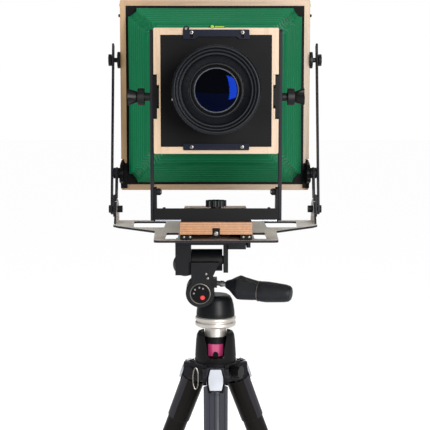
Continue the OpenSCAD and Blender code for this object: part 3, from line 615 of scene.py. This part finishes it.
def fold_ring(y, ridge):
    """One closed line of the bellows: a square with cut corners, which turn inwards on a ridge."""
    t = (y - BELLOWS_LOW.y) / (BELLOWS_HIGH.y - BELLOWS_LOW.y)
    half = FRONT_HALF + (BACK_HALF - FRONT_HALF) * t
    side = half if ridge else half - PLEAT_DEPTH
    reach = half - CORNER_CUT
    push = -3.0 * MM if ridge else 2.6 * MM
    ring = []
    for sx, sz in CORNERS:
        start, end = Vector((sx * side, sz * reach)), Vector((sx * reach, sz * side))
        if sx * sz < 0:
            start, end = end, start
        out = Vector((sx, sz)).normalized() * push
        ring += [start, start.lerp(end, 0.22) + out, start.lerp(end, 0.78) + out, end]
    inside = 0 < t < 1
    points = []
    for i in range(4):
        corner = ring[i * 4:i * 4 + 4]
        following = ring[(i * 4 + 4) % 16]
        points += corner
        for k in range(1, SIDE_STEPS):
            p = corner[3].lerp(following, k / SIDE_STEPS)
            slack = math.sin(math.pi * k / SIDE_STEPS) * inside
            wave = noise.noise(Vector((p.x * 9, y * 31, p.y * 9)))
            p = p * (1 - (0.8 * MM * slack + 0.5 * MM * slack * wave) / max(p.length, 1 * MM))
            points.append(p)
    sag = 1.4 * MM * math.sin(math.pi * min(1, max(0, t)))
    wobble = 0.4 * MM * noise.noise(Vector((0, y * 57, 1.7))) * inside
    return [Vector((p.x, y + wobble, LENS.z + p.y - sag)) for p in points]


def bellows():
    """The pleated cloth, in stretches of folds, one for each row of STRETCHES."""
    pitch = (BELLOWS_HIGH.y - BELLOWS_LOW.y) / FOLDS
    first = 0
    for number, (front_body, back_body, folds) in enumerate(STRETCHES, 1):
        last = first + folds
        rings = []
        for fold in range(first, last + 1):
            y = BELLOWS_LOW.y + fold * pitch
            offsets = (0.0,) if fold in (first, last) else (-LIP, LIP)
            rings += [fold_ring(y + offset, fold % 2 == 1) for offset in offsets]
        folded = [p for ring in rings for p in ring], bands(len(rings), len(rings[0]))
        cloth_piece = piece(f"bellows_{number}", [folded], None, "cloth", degrees=30,
                            replaces=("bellows",) if number == 1 else ())
        thick = cloth_piece.modifiers.new("cloth", "SOLIDIFY")
        thick.thickness = 0.5 * MM
        thick.offset = 1.0
        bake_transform(cloth_piece)
        first = last


def square_ring(outer, inner, y0, y1, cut=0.0):
    """A flat square frame across Y about the lens axis; cut fills its inner corners."""
    outside = [(outer, outer), (-outer, outer), (-outer, -outer), (outer, -outer)]
    a, b = inner, inner - cut
    inside = [(a, b), (b, a), (-b, a), (-a, b), (-a, -b), (-b, -a), (b, -a), (a, -b)]
    points, faces = [], []
    for y in (y0, y1):
        points += [Vector((x, y, LENS.z + z)) for x, z in outside + inside]
    corner_of = [0, 0, 1, 1, 2, 2, 3, 3]
    for k, turn in ((0, 1), (12, -1)):
        for i in range(8):
            j = (i + 1) % 8
            face = [k + corner_of[i], k + corner_of[j], k + 4 + j, k + 4 + i]
            faces.append(tuple(face[::turn]))
    faces += [(i, (i + 1) % 4, 12 + (i + 1) % 4, 12 + i) for i in range(4)]
    faces += [(4 + i, 16 + i, 16 + (i + 1) % 8, 4 + (i + 1) % 8) for i in range(8)]
    return points, faces


bellows()
rear_lining = square_ring(135.2 * MM, 118 * MM, REAR_LOW.y - 1.1 * MM, REAR_LOW.y + 0.6 * MM, 13 * MM)
front_lining = square_ring(73 * MM, 60 * MM, FRONT_HIGH.y - 0.5 * MM, FRONT_HIGH.y + 0.9 * MM, 6 * MM)
piece("bellows_rear_lining", [rear_lining],
      "film_standard", "board", 0.2 * MM)
piece("bellows_front_lining", [front_lining],
      "lens_standard", "board", 0.2 * MM)


def tube(path, radius, steps=12, closed=False):
    """A round wire along a path."""
    points, count = [], len(path)
    angles = [2 * math.pi * k / steps for k in range(steps)]
    for i, p in enumerate(path):
        before = path[i - 1] if i or closed else path[i]
        after = path[(i + 1) % count] if i < count - 1 or closed else path[i]
        _, u, v = basis(Vector(after) - Vector(before))
        points += [Vector(p) + (u * math.cos(a) + v * math.sin(a)) * radius for a in angles]
    faces = bands(count, steps, closed)
    if not closed:
        faces += [tuple(range(steps))[::-1], tuple(range((count - 1) * steps, count * steps))]
    return points, faces


def disc(centre, direction, radius, height, rim=0.3 * MM, steps=48):
    """A flat disc with a softened rim, standing along a direction."""
    return lathe([(0, 0), (radius, 0), (radius, height - rim), (radius - rim, height), (0, height)],
                 centre, direction, steps, False)


# ------------------------------------------------------------------ front standard trim
FRONT = (0, -1, 0)
FACE = FRONT_LOW.y
CLIP_X = (-31 * MM, 33 * MM)
screws("upper_clip_screws", [(x, FACE - 2.35 * MM, LENS.z + 73 * MM) for x in CLIP_X], FRONT,
       3.1 * MM, 1.6 * MM, "lens_standard")
screws("lower_clip_screws", [(x, FACE - 2.2 * MM, LENS.z - 70.2 * MM) for x in CLIP_X], FRONT,
       2.7 * MM, 1.3 * MM, "lens_standard")
top = FRONT_HIGH.z
level_block = slab((-8.5 * MM, FACE + 0.6 * MM, top + 0.05 * MM), (11 * MM, FACE + 9 * MM, top + 2.4 * MM))
piece("level_block", [level_block], "board_clip", "board", 0.5 * MM)
piece("level_round_vial", [
    lathe([(0, 0), (2.1 * MM, 0), (2.1 * MM, 1.1 * MM), (1.4 * MM, 1.7 * MM), (0, 1.9 * MM)],
          (-4.9 * MM, FACE + 0.7 * MM, top + 1.1 * MM), FRONT, 32, False)],
      "board_clip", "vial")
vial_path = [(x * MM, FACE + 0.7 * MM, top + 1.2 * MM) for x in (-1.6, 0, 3, 6, 9, 10.4)]
piece("level_tube_vial", [tube(vial_path, 0.9 * MM)], "board_clip", "vial")
glass_face = GLASS_HIGH.y
bezel = [(27.2 * MM, 1.2 * MM), (31.4 * MM, 1.2 * MM), (31.4 * MM, 5.6 * MM), (30.4 * MM, 6.2 * MM),
         (28.6 * MM, 4.6 * MM), (27.2 * MM, 4.2 * MM)]
glass_centre = (0, glass_face, LENS.z)
piece("glass_bezel", [lathe(bezel, glass_centre, FRONT, 96)], "lens_standard", "inner")
ring = [(26.2 * MM, 2.4 * MM), (27.5 * MM, 1.6 * MM), (27.6 * MM, 4.5 * MM), (27.0 * MM, 4.9 * MM),
        (26.3 * MM, 4.3 * MM)]
piece("glass_ring", [lathe(ring, glass_centre, FRONT, 96)], "lens_standard", "ring")
# Wood above and below the small round steps of the tilt plates, in the slots of the front frame
notch_x = FRONT_HIGH.x - 7 * MM
cheek_x = notch_x + 2.7 * MM
rise_z = LENS.z - 7 * MM
cheek_low, cheek_tall = 14.8 * MM, 28 * MM
cheek_y = (FRONT_LOW.y + 0.2 * MM, FRONT_HIGH.y - 0.2 * MM)
cheeks = [slab((side * notch_x, cheek_y[0], rise_z + a), (side * cheek_x, cheek_y[1], rise_z + b))
          for side in (1, -1) for a, b in ((cheek_low, cheek_tall), (-cheek_tall, -cheek_low))]
piece("front_frame_cheeks", cheeks, "lens_standard", "birch", 0.3 * MM)
ticks = []
tick_y = FACE - 1.8 * MM
for i in range(24):
    long = 3.2 * MM if i % 4 == 0 else 1.8 * MM
    tick = slab((-0.25 * MM, tick_y - long, 46.9 * MM), (0.25 * MM, tick_y, 47.25 * MM))
    ticks.append(around(tick, 15 * i))
piece("shutter_scale", ticks, "lens_standard", "mark")
rib = slab((-0.7 * MM, BARREL_LOW.y + 9 * MM, 52 * MM), (0.7 * MM, BARREL_LOW.y + 17 * MM, 54.5 * MM))
knurl = [around(rib, 5 * i) for i in range(72)]
piece("barrel_grip_ribs", knurl, "lens_standard", "lens", 0.25 * MM)

web_y, web_z = BRACKET_LOW.y + 1.6 * MM, BED_HIGH.z + 17.0 * MM
web_screws = [disc((x, web_y, web_z), (0, 0, 1), 2.0 * MM, 1.6 * MM, 0.7 * MM)
              for x in (-66.3 * MM, 67.6 * MM)]
piece("bracket_top_screws", web_screws, "bracket", "bracket")
for side, label in ((-1, "left"), (1, "right")):
    foot, root, tip = (BRACKET_LOW.z + z * MM for z in (0.6, 1.3, 2.4))
    teeth = [(side * 45 * MM, foot)]
    for i in range(22):
        x = side * (45 + 1.5 * i) * MM
        teeth += [(x, tip), (x + side * 1.0 * MM, tip),
                  (x + side * 1.05 * MM, root), (x + side * 1.45 * MM, root)]
    teeth.append((side * 77.6 * MM, foot))
    scale = prism(teeth, BRACKET_LOW.y - 0.6 * MM, "Y", 0.7 * MM)
    piece(f"bracket_scale_{label}", [scale], "bracket", "key")
    centre = (side * (BRACKET_HIGH.x - 8.3 * MM), FOLD.y, FOLD.z)
    head = screw_head(centre, (-side, 0, 0), 3.2 * MM, 1.4 * MM)[0]
    piece(f"fold_screw_{label}", [head], "uprights", "screw")
guides_low, guides_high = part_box("bed_guides")
guide_z = (guides_low.z + guides_high.z) / 2
guide_screws = [(x * MM, guides_low.y + 0.1 * MM, guide_z) for x in (-41.2, -33.4, 35.0, 42.4)]
screws("guide_screws", guide_screws, FRONT, 1.7 * MM, 0.9 * MM, "platform")
SCREW = place("turn_focus_screw")
keeper = [(x * MM, BED_LOW.z + z * MM) for x, z in ((-4.7, -3.2), (4.7, -3.2), (4.7, 7.6), (-4.7, 7.6))]
keeper_plate = prism(keeper, BED_LOW.y - 0.7 * MM, "Y", 1.6 * MM)
piece("screw_plate", [keeper_plate], "bed", "board", 0.3 * MM)
screws("lead_screw_head", [(0, BED_LOW.y - 0.6 * MM, SCREW.z)], FRONT, 3.3 * MM, 2.0 * MM, "bed_screw")


# ------------------------------------------------------------------ rear standard trim
SIDE = REAR_HIGH.x
for side, label in ((-1, "left"), (1, "right")):
    ribs = []
    for i in range(9):
        z = LENS.z + (-141 + 4.25 * i) * MM
        ribs.append(slab((side * 134.4 * MM, REAR_LOW.y - (3.4 if i % 2 else 2.2) * MM, z),
                         (side * 144.6 * MM, REAR_LOW.y + 0.5 * MM, z + 4.3 * MM)))
    piece(f"hinge_block_{label}", ribs, "film_standard", "bracket", 0.25 * MM)
    pin_place = (side * (SIDE - 0.5 * MM), REAR_LOW.y + 6 * MM, LENS.z + 121 * MM)
    pin = disc(pin_place, (side, 0, 0), 2.3 * MM, 3.4 * MM, 0.9 * MM)
    piece(f"side_pin_{label}", [pin], "film_standard", "bracket")
    level_place = (side * (SIDE - 0.4 * MM), REAR_LOW.y + 5 * MM, LENS.z + 136.6 * MM)
    level = disc(level_place, (side, 0, 0), 2.4 * MM, 1.5 * MM, 0.6 * MM)
    piece(f"side_level_{label}", [level], "film_standard", "vial")
# Leaf springs that hold the back, one along each upright rail
for side, label in ((-1, "left"), (1, "right")):
    leaf = [(BACK_HIGH.y + y * MM, LENS.z + z * MM)
            for y, z in ((0.3, -96), (0.3, -60), (3.4, 0), (0.3, 60), (0.3, 96))]
    outline = leaf + [(y + 0.9 * MM, z) for y, z in reversed(leaf)]
    spring = prism(outline, side * 126.5 * MM, "X", side * 7 * MM)
    piece(f"back_spring_{label}", [spring], "back", "steel", 0.2 * MM)
spring_screws = [(side * 130 * MM, BACK_HIGH.y + 1.1 * MM, LENS.z + z * MM)
                 for side in (-1, 1) for z in (-90, 90)]
screws("spring_screws", spring_screws, (0, 1, 0), 2.6 * MM, 1.2 * MM, "back")
corner_plates = []
for sx, sz in CORNERS:
    outline = [(sx * (SIDE - a * MM), LENS.z + sz * (SIDE - b * MM)) for a, b in ((2, 2), (2, 20), (20, 2))]
    corner_plates.append(prism(outline, REAR_HIGH.y - 0.1 * MM, "Y", 0.8 * MM))
piece("frame_corner_plates", corner_plates, "film_standard", "steel", 0.15 * MM)


# ------------------------------------------------------------------ head trim
NECK_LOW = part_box("tilt_neck")[0]
DIAL = Vector((SIDE_AXIS.x, NECK_LOW.y, SIDE_AXIS.z))
dial_seat = DIAL + Vector((0, 0.2 * MM, 0))
dial_face = disc(dial_seat, FRONT, 13.0 * MM, 0.9 * MM, 0.3 * MM, 64)
piece("dial_face", [dial_face], "neck", "inner")
ring = [(13.0 * MM, 0), (14.6 * MM, 0), (14.4 * MM, 1.3 * MM), (13.8 * MM, 1.6 * MM), (13.0 * MM, 1.0 * MM)]
piece("dial_ring", [lathe(ring, dial_seat, FRONT, 96)], "neck", "screw")
dots = [(-7.0, 5.8), (-1.0, 8.6), (4.0, 7.2), (-8.6, 0.6)]
marks = [disc(DIAL + Vector((x * MM, -0.6 * MM, z * MM)), FRONT, 1.3 * MM, 0.35 * MM, 0.1 * MM, 20)
         for x, z in dots]
piece("dial_marks", marks, "neck", "mark")
index = disc(DIAL + Vector((3.4 * MM, -0.6 * MM, -5.4 * MM)), FRONT, 3.2 * MM, 0.7 * MM, 0.3 * MM, 32)
piece("dial_index", [index], "neck", "index")
neck_screws = [DIAL + Vector((x * MM, 0.1 * MM, z * MM)) for x, z in ((10.6, 21.5), (8.4, 27.6))]
screws("neck_screws", neck_screws, FRONT, 1.9 * MM, 1.1 * MM, "neck")

HANDLE = place("turn_side_handle")
HANDLE_AXIS = Vector(joints["turn_side_handle"]["axis"]).normalized()
if HANDLE_AXIS.x < 0:
    HANDLE_AXIS = -HANDLE_AXIS


def grip(sections, facets, steps=96):
    """A moulded grip: sections hold distance, radius, how faceted it is, and drop below the axis."""
    d, u, v = basis(HANDLE_AXIS)
    points = []
    for along, radius, flatness, drop in sections:
        for k in range(steps):
            a = 2 * math.pi * k / steps
            wedge = math.pi / facets
            flat = math.cos(wedge) / math.cos((a % (2 * wedge)) - wedge)
            r = radius * (1 + (flat - 1) * flatness)
            rim = (u * math.cos(a) + v * math.sin(a)) * (r * MM)
            points.append(HANDLE + d * (along * MM) - v * (drop * MM) + rim)
    faces = bands(len(sections), steps)
    last = (len(sections) - 1) * steps
    faces += [tuple(range(steps))[::-1], tuple(range(last, last + steps))]
    return points, faces


GRIP_FACETS = 7
GRIP = [(22, 4.6, 0.2, 0), (22.4, 5.4, 0.6, 0), (29, 8.6, 1, 0.6), (35, 13.2, 1, 1.4), (41, 17.4, 1, 2.4),
        (43.5, 17.8, 1, 2.8), (48, 16.9, 1, 3.2), (60, 15.2, 1, 3.6), (69, 13.9, 0.9, 3.6),
        (70, 13.6, 0.6, 3.6)]
TAIL = [(71.2, 13.5, 0.2, 3.6), (71.8, 13.9, 0.1, 3.6), (76, 14.4, 0, 3.5), (84, 14.4, 0, 3.2),
        (96, 13.4, 0, 2.6), (108, 12.3, 0, 2.0), (113.5, 11.0, 0, 1.8), (116, 9.0, 0, 1.6), (117, 6.0, 0, 1.6)]
GRIP_RING = [(69.8, 13.2, 0, 3.6), (69.9, 14.3, 0, 3.6), (71.1, 14.4, 0, 3.6), (71.2, 13.2, 0, 3.6)]
ROD = [(0, 0), (3.5, 0), (3.5, 13), (4.4, 13.6), (4.4, 18), (3.5, 18.6), (3.5, 26), (0, 26)]
piece("side_handle_grip", [grip(GRIP, GRIP_FACETS), grip(TAIL, GRIP_FACETS)], "side_handle", "grip",
      0.4 * MM, 24, replaces=("side_tilt_handle",))
piece("side_handle_ring", [grip(GRIP_RING, GRIP_FACETS)], "side_handle", "screw")
rod = lathe([(r * MM, along * MM) for r, along in ROD], HANDLE, HANDLE_AXIS, 40, False)
piece("side_handle_rod", [rod], "side_handle", "steel_y")


# ------------------------------------------------------------------ tripod trim
CROWN_FRONT = 16.1 * MM
# Half of the window's width, in degrees about the column
WINDOW_SPAN = 42
window_low, window_high = CROWN_LOW.z + 9.4 * MM, CROWN_LOW.z + 26.6 * MM


def curved_panel(radius, thickness, z_low, z_high, span, steps=16):
    """Part of a thin upright drum, on the front of the column."""
    points, faces = [], []
    for i in range(steps + 1):
        a = math.radians(-span + 2 * span * i / steps)
        for r in (radius, radius - thickness):
            for z in (z_low, z_high):
                points.append(Vector((math.sin(a) * r, COLUMN.y - math.cos(a) * r, z)))
    for i in range(steps):
        k, j = 4 * i, 4 * i + 4
        faces += [(k + a, k + b, j + b, j + a) for a, b in ((0, 1), (3, 2), (1, 3), (2, 0))]
    faces += [(0, 2, 3, 1), (4 * steps, 4 * steps + 1, 4 * steps + 3, 4 * steps + 2)]
    return points, faces


piece("crown_window", [curved_panel(CROWN_FRONT, 1.0 * MM, window_low, window_high, WINDOW_SPAN)],
      "tripod", "window", 0.2 * MM)
crown_y = COLUMN.y - CROWN_FRONT
notch_z, notch_half = window_low + 3.2 * MM, 3.6 * MM
notch_parts = [
    disc((0, crown_y + 0.4 * MM, notch_z), FRONT, notch_half, 1.4 * MM, 0.4 * MM),
    slab((-notch_half, crown_y - 0.9 * MM, window_low - 3 * MM), (notch_half, crown_y + 1 * MM, notch_z)),
]
piece("crown_window_notch", notch_parts, "tripod", "inner", 0.2 * MM)
loop = [(-27.8 * MM + math.cos(a) * 3.6 * MM, COLUMN.y - 36 * MM,
         CROWN_LOW.z - 17 * MM + math.sin(a) * 13 * MM + math.copysign(2, math.sin(a)) * MM)
        for a in [2 * math.pi * (i + 0.5) / 40 for i in range(40)]]
KEY_FRAME = [(-9, 8), (9, 8), (12.4, -3), (12.4, -14), (10.4, -24.6), (-10.4, -24.6), (-12.4, -14),
             (-12.4, -3)]
for leg in (1, 2, 3):
    key_axis = Vector(joints[f"leg_{leg}_key_pull"]["axis"]).normalized()
    up = -Vector(joints[f"leg_{leg}_extend_a"]["axis"]).normalized()
    to_leg = Matrix((key_axis, up.cross(key_axis), up)).transposed()
    hinge = place(f"leg_{leg}_fold")
    plate = prism([(y * MM, z * MM) for y, z in KEY_FRAME], 13.0 * MM, "X", 0.9 * MM)
    piece(f"key_frame_{leg}", [([hinge + to_leg @ p for p in plate[0]], plate[1])], f"leg_{leg}_top", "board",
          0.3 * MM)
piece("strap_ring", [tube(loop, 1.0 * MM, 10, True)], "tripod", "screw")


# ------------------------------------------------------------------ camera, light and floor
def area_light(name, location, target, size, power):
    """A rectangular light that faces its target."""
    data = bpy.data.lights.new(name, "AREA")
    data.shape = "RECTANGLE"
    data.size, data.size_y = size
    data.energy = power
    light = bpy.data.objects.new(name, data)
    light.location = location
    light.rotation_euler = (Vector(target) - Vector(location)).to_track_quat("-Z", "Y").to_euler()
    bpy.context.scene.collection.objects.link(light)
    return light


# The camera's place against the column and the base plate, in metres, and its aim, in degrees
VIEW_POINT = Vector((-0.008, COLUMN.y - 1.428, PLATE_LOW.z + 0.1587))
VIEW_PITCH = 5.41
VIEW_YAW = 0.29
FOCAL_LENGTH = 85.65
FLOOR_HALF = 40
camera_data = bpy.data.cameras.new("view")
camera_data.sensor_width = 36
camera_data.lens = FOCAL_LENGTH
camera = bpy.data.objects.new("view", camera_data)
camera.location = VIEW_POINT
camera.rotation_euler = (math.radians(90 - VIEW_PITCH), 0, math.radians(-VIEW_YAW))
bpy.context.scene.collection.objects.link(camera)
bpy.context.scene.camera = camera

floor_data = bpy.data.meshes.new("floor")
floor_corners = [(x * FLOOR_HALF, y * FLOOR_HALF, 0) for x, y in ((-1, -1), (1, -1), (1, 1), (-1, 1))]
floor_data.from_pydata(floor_corners, [], [(0, 1, 2, 3)])
floor_look = Look("studio_floor", (0.985, 0.985, 0.985, 1), 0.9, Specular_IOR_Level=0.0)
floor_data.materials.append(floor_look.material)
floor = bpy.data.objects.new("floor", floor_data)
bpy.context.scene.collection.objects.link(floor)

middle = Vector((0, COLUMN.y, LENS.z - 0.06))
lens_height = middle + Vector((0, 0, 0.06))
lights = [
    area_light("key", middle + Vector((0.98, -2.35, 0.32)), lens_height, (0.8, 1.25), 11),
    area_light("fill", middle + Vector((-1.9, -1.3, 0.5)), middle, (1.0, 1.8), 2.5),
    area_light("top", middle + Vector((0.1, -0.3, 1.7)), middle, (1.8, 1.2), 8),
    area_light("rim", middle + Vector((0.5, 2.0, 0.9)), middle, (1.8, 1.4), 14),
]
# Seen only in the glass and the metal
reflector = area_light("reflector", middle + Vector((0.95, -2.3, 0.3)), lens_height, (0.8, 1.25), 120)
reflector.visible_diffuse = False
lights.append(reflector)

world = bpy.data.worlds.new("studio")
bpy.context.scene.world = world
world.use_nodes = True
world.node_tree.nodes["Background"].inputs["Color"].default_value = (1, 1, 1, 1)
world.node_tree.nodes["Background"].inputs["Strength"].default_value = 1.0
world.cycles_visibility.glossy = False
bpy.context.scene.view_settings.view_transform = "Standard"
